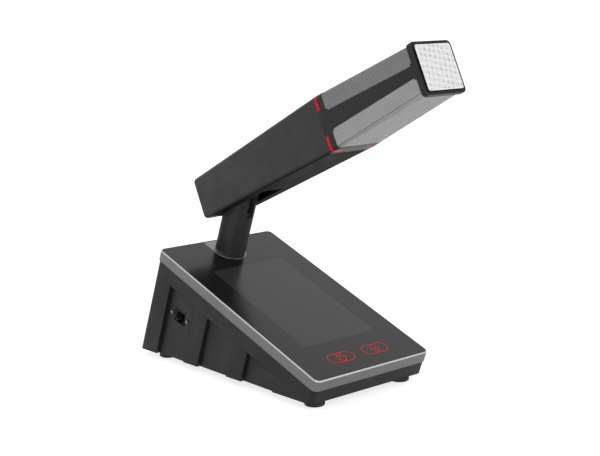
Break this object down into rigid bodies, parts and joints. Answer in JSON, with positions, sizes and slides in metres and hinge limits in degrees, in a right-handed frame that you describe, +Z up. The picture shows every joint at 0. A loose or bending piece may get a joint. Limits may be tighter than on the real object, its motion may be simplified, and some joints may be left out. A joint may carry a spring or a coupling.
{
  "type": "conference delegate unit",
  "caption": "Sloping desk base with a glass touch panel and a square microphone head that tilts on a post at the back.",
  "frame": {"origin": "on the table, under the middle of the whole unit's box at rest", "axes": "X across the unit, +Y to its back, -Y to the speaker, +Z up"},
  "size_m": [0.15, 0.3729, 0.3381],
  "materials": {
    "black_plastic": "fine satin moulded black",
    "dark_metal": "dark anodised",
    "band_metal": "satin anodised, bright chamfer",
    "plate_metal": "satin anodised",
    "black_glass": "black-backed gloss",
    "screen_back": "bare sheet",
    "red_light": "red translucent light guide",
    "board_green": "circuit board",
    "steel": "zinc plated",
    "rubber": "matt",
    "mesh_metal": "fine perforated mesh",
    "front_mesh": "fine perforated mesh, light",
    "foam": "open-cell acoustic foam",
    "brass": "turned"
  },
  "bodies": {
    "base": {"base_casing": "black_plastic", "bezel_frame": "band_metal", "touch_glass": "black_glass", "display_module": "screen_back", "display_carrier": "steel", "key_board": "board_green", "key_light_left": "red_light", "key_light_right": "red_light", "frame_screw_1": "steel", "frame_screw_2": "steel", "frame_screw_3": "steel", "frame_screw_4": "steel", "network_socket": "dark_metal", "socket_bracket": "steel", "socket_screw_front": "steel", "socket_screw_rear": "steel", "bottom_cover": "black_plastic", "bottom_screw_1": "steel", "bottom_screw_2": "steel", "bottom_screw_3": "steel", "bottom_screw_4": "steel", "foot_1": "rubber", "foot_2": "rubber", "foot_3": "rubber", "foot_4": "rubber", "ballast_plate": "steel", "main_board": "board_green", "post_plate": "plate_metal", "post_bracket": "steel", "post_bolt_front": "steel", "post_bolt_rear": "steel", "post": "dark_metal", "friction_washer_left": "brass", "friction_washer_right": "brass", "hinge_bolt": "steel", "hinge_nut": "steel"},
    "head": {"head_shell": "black_plastic", "underside_cover": "black_plastic", "cover_screw_rear": "steel", "cover_screw_front": "steel", "hinge_arm": "dark_metal", "stop_pin": "steel", "arm_screw_left": "steel", "arm_screw_right": "steel", "head_board": "board_green", "light_board": "board_green", "light_top_left": "red_light", "light_top_right": "red_light", "light_bottom_left": "red_light", "light_bottom_right": "red_light", "grille_frame": "dark_metal", "upper_grille": "mesh_metal", "lower_grille": "mesh_metal", "nose_rim": "black_plastic", "front_grille": "front_mesh", "foam_core": "foam", "mic_board": "board_green", "mic_capsule_1": "brass", "mic_capsule_2": "brass", "mic_capsule_3": "brass"}
  },
  "joints": [
    {"name": "head_tilt", "type": "hinge", "parent": "base", "child": "head", "pos_m": [0, 0.09662, 0.17581], "axis": [1, 0, 0], "range_deg": [-3, 50]}
  ]
}
